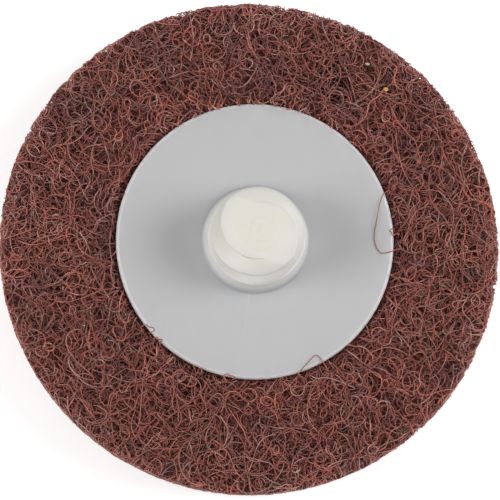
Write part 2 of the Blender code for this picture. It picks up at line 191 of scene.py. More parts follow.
def addStudio():
    world = bpy.data.worlds.new("studio")
    bpy.context.scene.world = world
    world.use_nodes = True
    tree = world.node_tree
    light = tree.nodes["Background"]
    light.inputs["Color"].default_value = (1, 1, 1, 1)
    level = addNode(tree, "MapRange", To_Min=studio["worldLight"], To_Max=1.0)
    tree.links.new(backdropRays(tree), level.inputs["Value"])
    tree.links.new(level.outputs[0], light.inputs["Strength"])
    for name, direction, height, distance, size, watts in studio["lamps"]:
        turn = Matrix.Rotation(math.radians(direction), 3, "Z")
        turn = turn @ Matrix.Rotation(math.radians(90 - height), 3, "Y")
        place = turn @ Vector((0, 0, distance))
        bpy.ops.object.light_add(type="AREA", location=place, rotation=turn.to_euler())
        lamp = bpy.context.object
        lamp.name = name
        lamp.data.size = size
        lamp.data.energy = watts
    bpy.ops.mesh.primitive_plane_add(size=studio["floorSize"], location=(0, 0, -studio["floorDrop"]))
    floor = bpy.context.object
    floor.name = "floor"
    material, tree, shader = newMaterial("floorWhite")
    paper = addNode(tree, "MapRange", To_Min=studio["floorBounce"], To_Max=1.0)
    tree.links.new(backdropRays(tree), paper.inputs["Value"])
    tree.links.new(paper.outputs[0], shader.inputs["Base Color"])
    glow = addNode(tree, "MapRange", To_Min=0.0, To_Max=studio["floorGlow"])
    tree.links.new(backdropRays(tree), glow.inputs["Value"])
    shader.inputs["Emission Color"].default_value = (1, 1, 1, 1)
    tree.links.new(glow.outputs[0], shader.inputs["Emission Strength"])
    shader.inputs["Roughness"].default_value = 0.9
    shader.inputs["Specular IOR Level"].default_value = 0.0
    floor.data.materials.append(material)


clearSelection()
addStudio()
bpy.context.scene.view_settings.view_transform = "Standard"
print("studio lit")

# Sizes read from the frame, in metres

webLow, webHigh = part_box("abrasive_web")
scrimLow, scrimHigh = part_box("scrim")
buttonLow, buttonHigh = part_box("drive_button")
discRadius = (webHigh.x - webLow.x) / 2
buttonAxis = Vector(((buttonLow.x + buttonHigh.x) / 2, (buttonLow.y + buttonHigh.y) / 2))
flangeRadius = (buttonHigh.x - buttonLow.x) / 2
flangeBottom = buttonLow.z
tipHeight = buttonHigh.z
chance = random.Random(406)

# Places where the fibres part and show the scrim, and how wide
scrimSpots = [
    (Vector((2.3, 19.0)) * mm, 1.5 * mm),
    (Vector((16.3, -9.6)) * mm, 0.9 * mm),
    (Vector((0.2, -15.9)) * mm, 0.9 * mm),
    (Vector((-10.9, -11.4)) * mm, 1.0 * mm),
]


# Fibres: every path has the same number of points, so that tints and maps go on by counting

fibre = {
    "points": 15,
    "sides": 3,
    "thinEnd": 0.6,  # share of its width at both ends
    "mapRoom": 0.86,  # share of its cell that a fibre's length fills on the map
    "mapHeight": 0.75,
    "mapMargin": 0.06,
    "wander": 0.1,  # radians that the bend may change by at each point
    "kinks": 0.05,  # share of the points with a sharp turn
    "turnsBack": 0.08,  # share of the points where it starts to bend the other way
    "backBend": (0.3, 1.2),  # share of the old bend that the new one has
    "pace": (0.35, 0.9),  # radians of the crimp's wave from point to point
    "squash": (0.55, 1.0),
}


def makeSection():
    clearSelection()
    bpy.ops.mesh.primitive_circle_add(vertices=fibre["sides"], radius=1.0)
    bpy.ops.object.convert(target="CURVE")
    section = bpy.context.object
    section.name = "fibreSection"
    section.hide_render = True
    section.hide_viewport = True
    return section


fibreSection = makeSection()


def sweepFibres(name, paths, radii, tints):
    line = bpy.data.curves.new(name, "CURVE")
    line.dimensions = "3D"
    line.bevel_mode = "OBJECT"
    line.bevel_object = fibreSection
    for path, radius in zip(paths, radii):
        spline = line.splines.new("POLY")
        spline.points.add(len(path) - 1)
        places = np.ones((len(path), 4))
        places[:, :3] = path
        spline.points.foreach_set("co", places.ravel())
        thickness = np.full(len(path), radius)
        thickness[[0, -1]] *= fibre["thinEnd"]
        spline.points.foreach_set("radius", thickness)
    piece = bpy.data.objects.new(name, line)
    bpy.context.scene.collection.objects.link(piece)
    pick(piece)
    bpy.ops.object.convert(target="MESH")
    piece = bpy.context.object
    bpy.ops.object.mode_set(mode="EDIT")
    bpy.ops.mesh.select_all(action="SELECT")
    bpy.ops.mesh.fill_holes(sides=fibre["sides"])
    bpy.ops.mesh.select_all(action="SELECT")
    bpy.ops.mesh.normals_make_consistent(inside=False)
    bpy.ops.object.mode_set(mode="OBJECT")
    mesh = piece.data
    mesh.name = name
    mesh.shade_smooth()
    ring = fibre["points"] * fibre["sides"]
    colours = np.ones((len(mesh.vertices), 4))
    colours[:, :3] = np.repeat(np.concatenate(tints), fibre["sides"], axis=0)
    layer = mesh.color_attributes.new("fibreTint", "FLOAT_COLOR", "POINT")
    layer.data.foreach_set("color", colours.astype(np.float32).ravel())
    mapFibres(mesh, len(paths), ring)
    return piece


# Lays every fibre flat in its own cell of the map, so that its tint can be baked
def mapFibres(mesh, count, ring):
    corners = np.empty(len(mesh.loops), np.int32)
    mesh.loops.foreach_get("vertex_index", corners)
    starts = np.empty(len(mesh.polygons), np.int32)
    mesh.polygons.foreach_get("loop_start", starts)
    sizes = np.empty(len(mesh.polygons), np.int32)
    mesh.polygons.foreach_get("loop_total", sizes)
    which = corners // ring
    along = corners % ring // fibre["sides"]
    side = corners % ring % fibre["sides"]
    faceOf = np.repeat(np.arange(len(starts)), sizes)
    widest = np.maximum.reduceat(side, starts)[faceOf]
    least = np.minimum.reduceat(side, starts)[faceOf]
    isCap = (sizes == 3)[faceOf]
    wraps = ~isCap & (widest == fibre["sides"] - 1) & (least == 0)
    across = side + np.where(wraps & (side == 0), fibre["sides"], 0)
    spread = along / (fibre["points"] - 1)
    height = across / fibre["sides"]
    cap = np.where(along == 0, 0.0, 0.9)  # the end caps get small corners of the cell
    spread = np.where(isCap, cap + 0.1 * (side == 1), spread)
    height = np.where(isCap, 1.0 + 0.12 * (side == 2), height)
    cells = math.ceil(math.sqrt(count))
    u = (which % cells + fibre["mapMargin"] + fibre["mapRoom"] * spread) / cells
    v = (which // cells + fibre["mapMargin"] + fibre["mapHeight"] * height) / cells
    layer = mesh.uv_layers.new(name="OFBake")
    layer.data.foreach_set("uv", np.stack([u, v], 1).astype(np.float32).ravel())


# A crimped path in plan, with a bend that wanders, turns back and kinks, squashed at random
def curl(place, step, radius, wave):
    heading = chance.uniform(0, 2 * math.pi)
    phase = chance.uniform(0, 2 * math.pi)
    pace = chance.uniform(*fibre["pace"])
    bend = chance.choice((-1, 1)) * step / radius
    x, y = 0, 0
    found = []
    for number in range(fibre["points"]):
        found.append((x, y, wave * math.sin(phase + pace * number)))
        x += step * math.cos(heading)
        y += step * math.sin(heading)
        heading += bend
        bend += chance.uniform(-1, 1) * fibre["wander"]
        if chance.random() < fibre["kinks"]:
            heading += chance.uniform(-1.0, 1.0)
        if chance.random() < fibre["turnsBack"]:
            bend *= -chance.uniform(*fibre["backBend"])
    squash = chance.uniform(*fibre["squash"])
    turn = chance.uniform(0, math.pi)
    across, along = math.cos(turn), math.sin(turn)
    found = np.array(found)
    part = (found[:, 0] * across + found[:, 1] * along) * (squash - 1)
    found[:, 0] += place[0] + part * across
    found[:, 1] += place[1] + part * along
    return found


# The punched outline: a little out of round, with the soft mat pushed to one side
outline = {
    "grow": -0.03 * mm,
    "oval": 0.13 * mm,
    "ovalAngle": 10,  # degrees
    "push": 0.13 * mm,
    "pushAngle": -69,
    "fewestPoints": 4,  # a path that leaves it sooner is dropped
}


def outlineRadius(angle):
    oval = outline["oval"] * np.cos(2 * (angle - math.radians(outline["ovalAngle"])))
    push = outline["push"] * np.cos(angle - math.radians(outline["pushAngle"]))
    return discRadius + outline["grow"] + oval + push


# How far inside the outline each point of a path lies
def fromOutline(path):
    return outlineRadius(np.arctan2(path[:, 1], path[:, 0])) - np.hypot(path[:, 0], path[:, 1])


# Cuts a path off where it first leaves the outline and spreads its points over what is left
def cutRound(path):
    inside = fromOutline(path)
    outside = np.nonzero(inside < 0)[0]
    if not len(outside):
        return path
    last = outside[0]
    if last < outline["fewestPoints"]:
        return None
    last = last - 1 + inside[last - 1] / (inside[last - 1] - inside[last])
    at = np.linspace(0, last, fibre["points"])
    numbers = np.arange(fibre["points"])
    return np.stack([np.interp(at, numbers, path[:, axis]) for axis in range(3)], 1)


def smoothNoise(x, y, size, seed=0.0):
    return noise.noise(Vector((x / size, y / size, seed)))


# Tints of the resin on the fibres, and how they are shared out
palette = {
    "maroon": (0.155, 0.0265, 0.0235),
    "brown": (0.315, 0.0705, 0.0545),
    "rust": (0.51, 0.16, 0.106),
    "rose": (0.53, 0.275, 0.24),
    # pale tint of the painted highlights along a fibre, partly the pale grit coating
    "highlightAndGrit": (0.66, 0.52, 0.48),
}
shares = {
    "notDark": 0.78,
    # share of fibres with a painted highlight stretch, its strength and its length
    "highlightStretch": 0.1,
    "highlightStrength": 0.6,
    "highlightLength": 1.4,  # points along the fibre
    "unevenness": 0.2,
}


def blendTints(first, second, share):
    return np.array(palette[first]) * (1 - share) + np.array(palette[second]) * share


def fibreTint(roseShare=0.22):
    kind = chance.random()
    if kind < roseShare:
        return blendTints("brown", "rose", chance.uniform(0.3, 1.0))
    if kind < shares["notDark"]:
        return blendTints("brown", "rust", chance.uniform(0.1, 1.0))
    return blendTints("maroon", "brown", chance.uniform(0.2, 1.0))


# The tint at each point of a fibre: uneven along it, with a rare pale stretch that is a painted highlight,
# partly the pale grit coating
def tintAlong(tint, lightness):
    numbers = np.arange(fibre["points"])
    phase, pace = chance.uniform(0, 2 * math.pi), chance.uniform(0.3, 0.9)
    level = lightness * (1 + shares["unevenness"] * np.sin(phase + pace * numbers))
    found = level[:, None] * tint
    if chance.random() < shares["highlightStretch"]:
        highlightStretch = (numbers - chance.randrange(fibre["points"])) / shares["highlightLength"]
        highlightAndGrit = np.exp(-highlightStretch ** 2)[:, None]
        found += (np.array(palette["highlightAndGrit"]) - found) * shares["highlightStrength"] * highlightAndGrit
    return found


# Fibres over the back of the web

back = {
    "bottom": 5.7 * mm,
    "top": 7.45 * mm,
    "innermost": 0.28,  # least share of the disc's area inside a fibre's start
    "flangeGap": 0.1 * mm,
    "sparseNoise": 3.0 * mm,
    "sparseRange": (-1.1, -0.1),
    "spotRoom": 1.25,  # share of a scrim spot's size in which few fibres start
    "spotFree": 0.9,
    "longShare": 0.4,
    "longSteps": (0.36, 0.54),  # millimetres, as the next three are
    "longBends": (1.2, 4.0),
    "shortSteps": (0.24, 0.38),
    "shortBends": (0.45, 1.3),
    "crimp": 0.24 * mm,
    "hills": 0.25 * mm,
    "hillSize": 4 * mm,
    # painted shade: the lightness of the deepest fibres and how much it rises to the top, so deeper fibres
    # are painted darker
    "shadedDeepLevel": 0.47,
    "paintedShadeRise": 0.63,
    "lightPatches": 0.55,
    "patchSize": 3.2 * mm,
    "roseDeep": 0.34,
    "roseFall": 0.16,
    "trenchSlopes": (0.9, 1.6, 3.0, 6.0),
    "trenchDepth": 0.12 * mm,  # under the flange's lower side
    "trenchWidth": 0.14 * mm,
    "rimSlope": 0.7,
    "rimWidth": 0.6 * mm,
    "slack": 0.1 * mm,
    "pieces": [  # name, fibres, lowest and highest share of the height, width range
        ("web_fibres_deep", 1750, 0.0, 0.5, (0.12, 0.17)),
        ("web_fibres_middle", 1850, 0.3, 0.75, (0.105, 0.16)),
        ("web_fibres_top", 1800, 0.6, 1.0, (0.095, 0.15)),
    ],
}


def backPaths(count, low, high, widths):
    paths, radii, tints = [], [], []
    while len(paths) < count:
        reach = discRadius * math.sqrt(chance.uniform(back["innermost"], 1.0))
        angle = chance.uniform(0, 2 * math.pi)
        x, y = reach * math.cos(angle), reach * math.sin(angle)
        if math.hypot(x - buttonAxis.x, y - buttonAxis.y) < flangeRadius + back["flangeGap"]:
            continue
        if smoothNoise(x, y, back["sparseNoise"]) < chance.uniform(*back["sparseRange"]):
            continue
        gap = min((Vector((x, y)) - spot).length / size for spot, size in scrimSpots)
        if gap < back["spotRoom"] and chance.random() < back["spotFree"]:
            continue
        kind = "long" if chance.random() < back["longShare"] else "short"
        step = chance.uniform(*back[kind + "Steps"]) * mm
        radius = chance.uniform(*back[kind + "Bends"]) * mm
        path = cutRound(curl((x, y), step, radius, back["crimp"]))
        if path is None:
            continue
        share = chance.uniform(low, high)
        level = back["bottom"] + share * (back["top"] - back["bottom"])
        path[:, 2] += level + back["hills"] * smoothNoise(x, y, back["hillSize"], 5.0)
        settleOnBack(path)
        paths.append(path)
        radii.append(chance.uniform(*widths) * mm / 2)
        # painted shade: a darker level the deeper the fibre lies; the patches are random tone
        lightness = back["shadedDeepLevel"] + back["paintedShadeRise"] * share
        lightness *= 1 + back["lightPatches"] * smoothNoise(x, y, back["patchSize"], 9.0)
        tints.append(tintAlong(fibreTint(back["roseDeep"] - back["roseFall"] * share), lightness))
    return paths, radii, tints


# Keeps a fibre under the edge of the flange where it comes near it, and lower at the rim
def settleOnBack(path):
    gap = np.hypot(path[:, 0] - buttonAxis.x, path[:, 1] - buttonAxis.y) - flangeRadius
    slope = chance.choice(back["trenchSlopes"])
    lid = flangeBottom - back["trenchDepth"] + slope * np.maximum(gap - back["trenchWidth"], 0)
    nearRim = np.maximum(back["rimWidth"] - fromOutline(path), 0)
    lid = np.minimum(lid, back["top"] - back["rimSlope"] * nearRim)
    path[:, 2] = np.clip(path[:, 2], back["bottom"] - back["slack"], lid)


# Fibres round the cut rim, laid on the wall and over its upper edge

rim = {
    "fibres": 1750,
    "bottom": 0.3 * mm,
    "top": 7.0 * mm,
    "over": 0.6 * mm,  # how far the fibres go on over the upper edge
    "depth": 0.1 * mm,
    "layer": 0.03 * mm,
    "tuckedEnd": 0.3 * mm,
    "corner": 0.35 * mm,
    "footHeight": 0.8 * mm,  # below this the wall is drawn in
    "footInset": 0.5 * mm,
    "lowest": 0.1 * mm,
    "steps": (0.2, 0.38),  # millimetres, as the next two are
    "bends": (0.5, 2.4),
    "widths": (0.12, 0.18),
    # rim fibres painted paler and pinker than most: partly the cut ends' own paler colour, partly painted
    # light on the rim
    "lightness": (0.8, 1.45),
    "rose": 0.4,
}


# Turns distance up the wall, and on over the edge, into radius and height
def overEdge(angle, up, depth):
    corner = rim["corner"]
    past = up - rim["top"] + corner
    turn = np.clip(past / corner, 0, math.pi / 2)
    reach = outlineRadius(angle) - corner + (corner - depth) * np.cos(turn)
    reach -= np.maximum(past - corner * math.pi / 2, 0)
    level = np.minimum(up, rim["top"] - corner) + (corner - depth) * np.sin(turn)
    return reach, level


def rimPaths():
    paths, radii, tints = [], [], []
    middlePoint = fibre["points"] // 2
    for number in range(rim["fibres"]):
        step = chance.uniform(*rim["steps"]) * mm
        flat = curl((0, 0), step, chance.uniform(*rim["bends"]) * mm, 1.0)
        flat[:, :2] -= flat[middlePoint, :2]
        angle = chance.uniform(0, 2 * math.pi) + flat[:, 0] / discRadius
        up = chance.uniform(rim["bottom"], rim["top"] + rim["over"]) + flat[:, 1]
        up = rim["bottom"] + np.abs(up - rim["bottom"])
        depth = chance.random() * rim["depth"] + rim["layer"] * (1 + flat[:, 2])
        depth[[0, -1]] += rim["tuckedEnd"]
        reach, level = overEdge(angle, up, depth)
        reach -= rim["footInset"] * np.maximum(0, 1 - level / rim["footHeight"]) ** 2
        level = np.maximum(level, rim["lowest"])
        paths.append(np.stack([reach * np.cos(angle), reach * np.sin(angle), level], 1))
        radii.append(chance.uniform(*rim["widths"]) * mm / 2)
        tints.append(tintAlong(fibreTint(rim["rose"]), chance.uniform(*rim["lightness"])))
    return paths, radii, tints


# Fibres flattened against the work face

workFace = {
    "fibres": 1750,
    "bottom": 0.09 * mm,
    "depth": 0.55 * mm,
    "crimp": 0.1 * mm,
    "tuckedEnd": 0.3 * mm,
    "rimSlope": 0.6,
    "rimWidth": 0.7 * mm,
    "steps": (0.3, 0.5),  # millimetres, as the next two are
    "bends": (0.6, 2.8),
    "widths": (0.13, 0.19),
    # painted shade: the lightness nearest the face and how much it falls deeper in, so deeper fibres are
    # painted darker
    "lightLow": 1.1,
    "paintedShadeFall": 0.35,
}


def workFacePaths():
    paths, radii, tints = [], [], []
    while len(paths) < workFace["fibres"]:
        reach = discRadius * math.sqrt(chance.random())
        angle = chance.uniform(0, 2 * math.pi)
        place = (reach * math.cos(angle), reach * math.sin(angle))
        step = chance.uniform(*workFace["steps"]) * mm
        radius = chance.uniform(*workFace["bends"]) * mm
        path = cutRound(curl(place, step, radius, workFace["crimp"]))
        if path is None:
            continue
        share = chance.random()
        path[:, 2] += workFace["bottom"] + share * workFace["depth"]
        path[:, 2] = np.maximum(path[:, 2], workFace["bottom"])
        path[[0, -1], 2] += workFace["tuckedEnd"]
        path[:, 2] += workFace["rimSlope"] * np.maximum(workFace["rimWidth"] - fromOutline(path), 0)
        paths.append(path)
        radii.append(chance.uniform(*workFace["widths"]) * mm / 2)
        # painted shade: darker the deeper the fibre lies in the mat
        tints.append(tintAlong(fibreTint(), workFace["lightLow"] - workFace["paintedShadeFall"] * share))
    return paths, radii, tints


# Fibres that lap over the edge of the flange, and the loose ones that lie across it

stray = {
    "lapping": 70,
    "upperShare": 0.75,  # share of them along the flange's upper edge in the picture
    "upperAngle": (112, 26),  # degrees, middle and spread
    "upperReach": 0.28,  # millimetres inside the flange's edge at most
    "sideReach": 0.12,
    "starts": (0.5, 1.5),  # millimetres outside the flange's edge
    "rootHeight": 6.4 * mm,
    "widths": (0.1, 0.16),
    "lie": 0.12 * mm,  # height of a loose fibre's middle over the flange
    "curlRadius": 0.06 * mm,
    "looseRadius": 0.065 * mm,
    "edgeCurls": [(-119, 0.6), (-113, 0.35), (-80, 0.5), (24.5, 0.4), (97, 0.4)],
    "looseLines": [
        [
            (11.6, 10.5), (10.9, 9.7), (10.9, 8.3), (11.2, 6.6),
            (11.6, 4.9), (12.7, 3.8), (13.9, 4.6), (14.8, 5.2),
        ],
        [(9.2, -10.6), (9.7, -9.3), (10.2, -8.3), (11.1, -8.7), (12.2, -9.6)],
    ],
}


# Even points on a smooth curve through a few places
def smoothLine(places, count):
    places = [Vector(place) for place in places]
    ends = [2 * places[0] - places[1], *places, 2 * places[-1] - places[-2]]
    found = []
    for number in range(count):
        at = number * (len(places) - 1) / (count - 1)
        step = min(int(at), len(places) - 2)
        t = at - step
        a, b, c, d = ends[step:step + 4]
        found.append(
            0.5 * (2 * b + (c - a) * t + (2 * a - 5 * b + 4 * c - d) * t * t
                   + (3 * b - a - 3 * c + d) * t * t * t)
        )
    return found


def strayPaths():
    paths, radii, tints = [], [], []
    flangeTop = flangeBottom + flange["thickness"]
    over = flangeTop + stray["lie"]
    for number in range(stray["lapping"]):
        upper = chance.random() < stray["upperShare"]
        angle = math.radians(chance.gauss(*stray["upperAngle"]) if upper else chance.uniform(0, 360))
        start = flangeRadius + chance.uniform(*stray["starts"]) * mm
        end = flangeRadius - chance.uniform(-0.1, stray["upperReach" if upper else "sideReach"]) * mm
        drift = chance.uniform(-1, 1) * mm
        bow = chance.uniform(-0.3, 0.3) * mm
        path = []
        for count in range(fibre["points"]):
            t = count / (fibre["points"] - 1)
            reach = start + (end - start) * t ** 0.8
            side = drift * t + bow * math.sin(math.pi * t)
            turn = angle + side / flangeRadius
            height = stray["rootHeight"] + (over - stray["rootHeight"]) * min(1, 1.5 * t)
            path.append(
                (buttonAxis.x + reach * math.cos(turn), buttonAxis.y + reach * math.sin(turn), height)
            )
        paths.append(np.array(path))
        radii.append(chance.uniform(*stray["widths"]) * mm / 2)
        tints.append(tintAlong(fibreTint(0.4), chance.uniform(0.8, 1.3)))
    for degrees, size in stray["edgeCurls"]:
        angle = math.radians(degrees)
        centre = buttonAxis + Vector((math.cos(angle), math.sin(angle))) * (flangeRadius + 0.1 * mm)
        bow = chance.uniform(0.08, 0.16)
        path = []
        for count in range(fibre["points"]):
            turn = angle + math.radians(60 + 300 * count / (fibre["points"] - 1))
            x = centre.x + (size + bow * math.sin(2.3 * turn)) * mm * math.cos(turn)
            y = centre.y + (0.7 * size + bow * math.sin(3.1 * turn)) * mm * math.sin(turn)
            dip = 0.5 * mm * abs(2 * count / (fibre["points"] - 1) - 1) ** 4
            path.append((x, y, over - dip))
        paths.append(np.array(path))
        radii.append(stray["curlRadius"])
        tints.append(tintAlong(blendTints("brown", "rust", 0.6), 1.0))
    for places in stray["looseLines"]:
        line = smoothLine([(x * mm, y * mm, over) for x, y in places], fibre["points"])
        path = np.array([tuple(point) for point in line])
        path[:, 2] += 0.15 * mm * np.sin(np.linspace(0, 5, len(path))) ** 2
        path[[0, -1], 2] -= 0.8 * mm
        paths.append(path)
        radii.append(stray["looseRadius"])
        tints.append(tintAlong(blendTints("brown", "rust", 0.5), 1.0))
    return paths, radii, tints


# Web core: the mass of the mat under the outer fibres, tinted darker than the fibres as painted shade of
# the mat's depths

core = {
    "radius": 25.25 * mm,  # before its wall is laid along the outline
    "edge": 0.5 * mm,
    "underRim": 0.1 * mm,  # how far inside the outline its wall lies
    "wallWaves": 0.16,  # share of the unevenness that is left on the wall
    "back": 5.85 * mm,
    "seat": 5.6 * mm,
    "face": 0.34 * mm,
    "steps": 380,
    "rows": 0.36 * mm,
    "faceRows": 0.9 * mm,
    "wallRows": 0.5 * mm,
    "roughness": 0.5 * mm,
    "noiseSize": 1.1 * mm,
    "pitFloor": 4.1 * mm,
    "pitReach": 1.45,  # share of a scrim spot's size at the pit's brim
    "pitSlope": 0.45,
    "lowest": 0.06 * mm,
    # darker than the fibres' own tints: painted shade of the gaps deep in the mat
    "darkTint": (0.055, 0.009, 0.008),
    "lightTint": (0.25, 0.06, 0.05),
    "strandScale": 3000,
    "strandHeight": 0.12 * mm,
}


def rowsBetween(start, end, step):
    count = max(1, round(abs(end - start) / step))
    return [start + (end - start) * number / count for number in range(1, count + 1)]


def makeCore():
    radius, edge = core["radius"], core["edge"]
    profile = [(0, core["face"])]
    profile += [(r, core["face"]) for r in rowsBetween(0, radius - edge, core["faceRows"])]
    profile += [(radius, core["face"] + edge)]
    profile += [
        (radius, z) for z in rowsBetween(core["face"] + edge, core["back"] - edge, core["wallRows"])
    ]
    profile += [(radius - edge, core["back"])]
    inner = flangeRadius + 0.15 * mm
    profile += [(r, core["back"]) for r in rowsBetween(radius - edge, inner, core["rows"])]
    profile += [(inner - 0.1 * mm, core["seat"]), (6 * mm, core["seat"]), (0, core["seat"])]
    piece = turnProfile("web_core", profile, core["steps"])
    cloud = bpy.data.textures.new("matUnevenness", "CLOUDS")
    cloud.noise_scale = core["noiseSize"]
    cloud.noise_depth = 2
    uneven = piece.modifiers.new("uneven", "DISPLACE")
    uneven.texture = cloud
    uneven.texture_coords = "LOCAL"
    uneven.strength = core["roughness"]
    uneven.mid_level = 0.5
    applyModifiers(piece)
    points = readPoints(piece)
    onBack = points[:, 2] > 4.6 * mm
    for spot, size in scrimSpots:
        away = np.hypot(points[:, 0] - spot.x, points[:, 1] - spot.y) / size
        depth = np.clip(core["pitReach"] - away, 0, core["pitSlope"]) / core["pitSlope"]
        lowered = points[:, 2] + (core["pitFloor"] - points[:, 2]) * depth
        points[:, 2] = np.where(onBack & (away < core["pitReach"]), lowered, points[:, 2])
    gap = np.hypot(points[:, 0] - buttonAxis.x, points[:, 1] - buttonAxis.y) - flangeRadius
    lid = flangeBottom - 0.2 * mm + 0.4 * np.maximum(gap, 0)
    points[:, 2] = np.minimum(points[:, 2], lid)
    reach = np.hypot(points[:, 0], points[:, 1])
    wall = fromOutline(points) + reach - core["underRim"]
    wall += np.minimum(reach - radius - core["roughness"] / 2, 0) * core["wallWaves"]
    onWall = reach > radius - core["roughness"] * 0.7
    points[:, :2] *= np.where(onWall, wall / np.maximum(reach, mm), 1)[:, None]
    points[:, 2] = np.maximum(points[:, 2], core["lowest"])
    writePoints(piece, points)
    piece.data.shade_smooth()
    return piece


# Scrim: open plain weave of flat yarns, cut round

weave = {
    "pitchAcross": 1.3 * mm,
    "pitchAlong": 1.1 * mm,
    "yarnWidth": 0.62 * mm,
    "yarnThickness": 0.2 * mm,
    "wave": 0.11 * mm,
    "turn": 14,  # degrees
    "wobble": 0.05 * mm,
    "wobbleLength": 3 * mm,
    "darkTint": (0.12, 0.06, 0.052),
    "lightTint": (0.3, 0.165, 0.145),
    "threadScale": 5000,
    "threadHeight": 0.03 * mm,
    "stepsEach": 4,  # points from one crossing to the next
}


def makeScrim():
    radius = (scrimHigh.x - scrimLow.x) / 2 - 0.1 * mm
    middle = (scrimLow.z + scrimHigh.z) / 2
    clearSelection()
    bpy.ops.mesh.primitive_circle_add(vertices=6, radius=0.5)
    bpy.ops.object.mode_set(mode="EDIT")
    bpy.ops.mesh.select_all(action="SELECT")
    bpy.ops.transform.resize(value=(weave["yarnThickness"], weave["yarnWidth"], 1))
    bpy.ops.object.mode_set(mode="OBJECT")
    bpy.ops.object.convert(target="CURVE")
    section = bpy.context.object
    line = bpy.data.curves.new("scrim_cloth_weave", "CURVE")
    line.dimensions = "3D"
    line.twist_mode = "Z_UP"
    line.bevel_mode = "OBJECT"
    line.bevel_object = section
    line.use_fill_caps = True
    for along in (False, True):
        pitch = weave["pitchAlong"] if along else weave["pitchAcross"]
        other = weave["pitchAcross"] if along else weave["pitchAlong"]
        count = int(radius / pitch)
        for number in range(-count, count + 1):
            offset = number * pitch
            half = math.sqrt(radius * radius - offset * offset)
            crossings = half / other
            steps = max(2, round(2 * crossings * weave["stepsEach"]))
            spline = line.splines.new("POLY")
            spline.points.add(steps)
            for place, point in enumerate(spline.points):
                at = -half + 2 * half * place / steps
                sign = 1 if (number % 2 == 0) == along else -1
                rise = sign * weave["wave"] * math.cos(math.pi * at / other)
                wobble = weave["wobble"] * math.sin(at / weave["wobbleLength"] + number)
                x, y = (at, offset + wobble) if along else (offset + wobble, at)
                point.co = (x, y, middle + rise, 1)
    piece = bpy.data.objects.new("scrim_cloth", line)
    bpy.context.scene.collection.objects.link(piece)
    piece.rotation_euler = (0, 0, math.radians(weave["turn"]))
    pick(piece)
    bpy.ops.object.convert(target="MESH")
    bpy.ops.object.transform_apply(location=True, rotation=True, scale=True)
    piece = bpy.context.object
    piece.data.shade_smooth()
    bpy.data.objects.remove(section, do_unlink=True)
    return piece, radius


# Drive button: one turned profile, whose stub is then drawn into a two-start thread

flange = {
    "thickness": 1.2 * mm,
    "edgeRound": 0.35 * mm,
    "steps": 168,
    "smoothAngle": 38,  # degrees
}
collar = {
    "radius": 5.47 * mm,
    "taper": 0.54 * mm,
    "height": 2.6 * mm,
    "round": 0.08 * mm,
    "fillet": 0.16 * mm,
}
thread = {
    "starts": 2,
    "lead": 7.0 * mm,
    "tipAngle": 162,  # degrees, where a crest reaches the tip
    "crestTip": 4.35 * mm,
    "crestBase": 4.85 * mm,
    "rows": 92,
    "drawRadius": 4.0 * mm,  # of the turned stub that the thread is drawn into
    "wholeRadius": 3.7 * mm,  # outside this the surface is drawn in full
    "stillRadius": 3.0 * mm,  # inside this it stays as turned
    # millimetres up from the crest and in from it, over one pitch
    "tooth": [
        (-2.8, 1.5), (-2.6, 1.49), (-2.4, 1.45), (-2.15, 1.38), (-1.9, 1.28), (-1.6, 1.14), (-1.3, 0.97),
        (-0.68, 0.53), (-0.1, 0.06), (-0.05, 0.01), (0.0, 0.0), (0.05, 0.02), (0.1, 0.09),
        (0.6, 1.24), (0.66, 1.38), (0.7, 1.48), (0.72, 1.5),
    ],
}
gate = {
    "radius": 0.4 * mm,
    "depth": 0.1 * mm,
    "ringRadii": [1.1 * mm, 2.0 * mm],
    "ringHalf": 0.1 * mm,  # half a ring's width
    "ringDepth": 0.03 * mm,
}


def arc(centre, radius, start, end, steps):
    turns = [math.radians(start + (end - start) * number / steps) for number in range(steps + 1)]
    return [(centre[0] + radius * math.cos(turn), centre[1] + radius * math.sin(turn)) for turn in turns]


def buttonProfile():
    top = flangeBottom + flange["thickness"]
    edge, shoulder = flange["edgeRound"], top + collar["height"]
    fillet, soft = collar["fillet"], collar["round"]
    draw = thread["drawRadius"]
    profile = [(0, flangeBottom), (5 * mm, flangeBottom), (10 * mm, flangeBottom)]
    profile += arc((flangeRadius - edge, flangeBottom + edge), edge, -90, 0, 4)
    profile += arc((flangeRadius - edge, top - edge), edge, 0, 90, 4)
    profile += [(r, top) for r in rowsBetween(flangeRadius - edge, collar["radius"] + fillet, 1.3 * mm)]
    profile += arc((collar["radius"] + fillet, top + fillet), fillet, -90, -180, 4)[1:]
    profile += arc((collar["radius"] - collar["taper"] - soft, shoulder - soft), soft, 0, 90, 5)
    profile += [(draw + 0.12 * mm, shoulder), (draw + 0.03 * mm, shoulder + 0.04 * mm)]
    low, high = shoulder + 0.12 * mm, tipHeight - 0.14 * mm
    profile += [
        (draw, low + (high - low) * number / thread["rows"]) for number in range(thread["rows"] + 1)
    ]
    profile += [(draw - 0.04 * mm, tipHeight - 0.04 * mm), (draw - 0.14 * mm, tipHeight)]
    profile += [(3.4 * mm, tipHeight), (2.2 * mm, tipHeight)]
    for ring in reversed(gate["ringRadii"]):
        groove, half = gate["ringDepth"], gate["ringHalf"]
        profile += [(ring + half, tipHeight), (ring, tipHeight - groove), (ring - half, tipHeight)]
    wide, deep = gate["radius"], gate["depth"]
    profile += [(wide + 0.08 * mm, tipHeight), (wide, tipHeight - 0.03 * mm)]
    profile += [(0.6 * wide, tipHeight - deep), (0.25 * wide, tipHeight - 0.7 * deep)]
    profile += [(0, tipHeight - 0.6 * deep)]
    return profile


